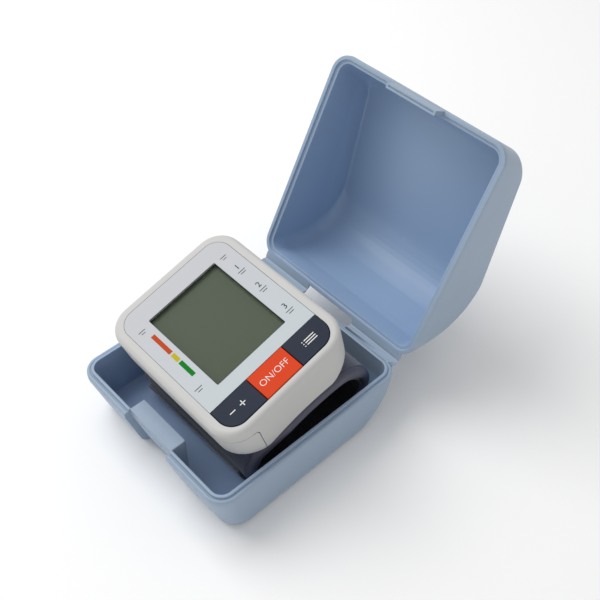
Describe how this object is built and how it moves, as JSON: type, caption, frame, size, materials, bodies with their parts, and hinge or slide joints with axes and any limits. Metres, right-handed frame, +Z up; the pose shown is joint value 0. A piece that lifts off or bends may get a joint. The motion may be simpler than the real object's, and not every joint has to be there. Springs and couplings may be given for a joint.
{
  "type": "wrist blood pressure monitor",
  "caption": "Wrist blood pressure monitor with display, keys and rolled cuff, resting in its open hinged storage case.",
  "frame": {"origin": "on the surface the case stands on, straight below the middle of the case's opening", "axes": "+Z up, +X along the case hinge, +Y from the latch side to the hinge side"},
  "size_m": [0.095, 0.1712, 0.1232],
  "materials": {
    "case_plastic": "translucent-looking blue-grey polypropylene, satin",
    "housing_plastic": "fine matte white-grey ABS",
    "panel_plastic": "silvery pale blue film, satin",
    "lens_plastic": "clear polished acrylic",
    "display_glass": "grey-green liquid crystal cell, semi-gloss",
    "dark_keys": "dark slate, matte",
    "orange_key": "orange-red, matte",
    "grey_rubber": "grey silicone rubber",
    "board_laminate": "green solder mask",
    "black_plastic": "black moulded plastic",
    "plated_steel": "plated steel",
    "battery_sleeve": "printed foil sleeve, plain blue",
    "cuff_fabric": "brushed dark grey-blue knit",
    "cuff_lining": "black knit lining",
    "bladder_film": "welded grey film"
  },
  "bodies": {
    "base": {"case_base": "case_plastic", "hinge_film_left": "case_plastic", "hinge_film_right": "case_plastic"},
    "lid": {"case_lid": "case_plastic"},
    "monitor": {"front_housing": "housing_plastic", "rear_housing": "housing_plastic", "face_panel": "panel_plastic", "lcd_lens": "lens_plastic", "lcd_cell": "display_glass", "lcd_holder": "black_plastic", "lcd_connector": "grey_rubber", "keypad_membrane": "grey_rubber", "circuit_board": "board_laminate", "processor_chip": "black_plastic", "buzzer": "black_plastic", "pressure_sensor": "black_plastic", "air_pump_motor": "plated_steel", "air_pump_head": "black_plastic", "release_valve": "plated_steel", "air_tube": "grey_rubber", "cuff_nozzle": "black_plastic", "battery_left": "battery_sleeve", "battery_right": "battery_sleeve", "battery_spring_left": "plated_steel", "battery_spring_right": "plated_steel", "battery_contact_bar": "plated_steel", "battery_holder": "black_plastic", "cuff_clip_plate": "black_plastic", "housing_screw_1": "plated_steel", "housing_screw_2": "plated_steel", "housing_screw_3": "plated_steel", "housing_screw_4": "plated_steel", "cuff_cover": "cuff_fabric", "cuff_stiffener": "black_plastic", "cuff_bladder": "bladder_film", "cuff_liner": "cuff_lining", "cuff_strap": "cuff_fabric"},
    "set_key": {"button_set": "dark_keys"},
    "on_off_key": {"button_on_off": "orange_key"},
    "mem_key": {"button_mem": "dark_keys"},
    "battery_door": {"battery_cover": "housing_plastic"}
  },
  "joints": [
    {"name": "lid_hinge", "type": "hinge", "parent": "base", "child": "lid", "pos_m": [0, 0.05315, 0.0284], "axis": [-1, 0, 0], "range_deg": [-117.6, 35]},
    {"name": "monitor_lift", "type": "slide", "parent": "base", "child": "monitor", "axis": [0, 0, 1], "range_m": [0, 0.075]},
    {"name": "set_press", "type": "slide", "parent": "monitor", "child": "set_key", "axis": [0, 0.2672, -0.9636], "range_m": [0, 0.0008], "stiffness_N_per_m": 600, "springref_m": -0.0004},
    {"name": "on_off_press", "type": "slide", "parent": "monitor", "child": "on_off_key", "axis": [0, 0.2672, -0.9636], "range_m": [0, 0.0008], "stiffness_N_per_m": 600, "springref_m": -0.0004},
    {"name": "mem_press", "type": "slide", "parent": "monitor", "child": "mem_key", "axis": [0, 0.2672, -0.9636], "range_m": [0, 0.0008], "stiffness_N_per_m": 600, "springref_m": -0.0004},
    {"name": "battery_door_slide", "type": "slide", "parent": "monitor", "child": "battery_door", "axis": [1, 0, 0], "range_m": [0, 0.003]}
  ]
}
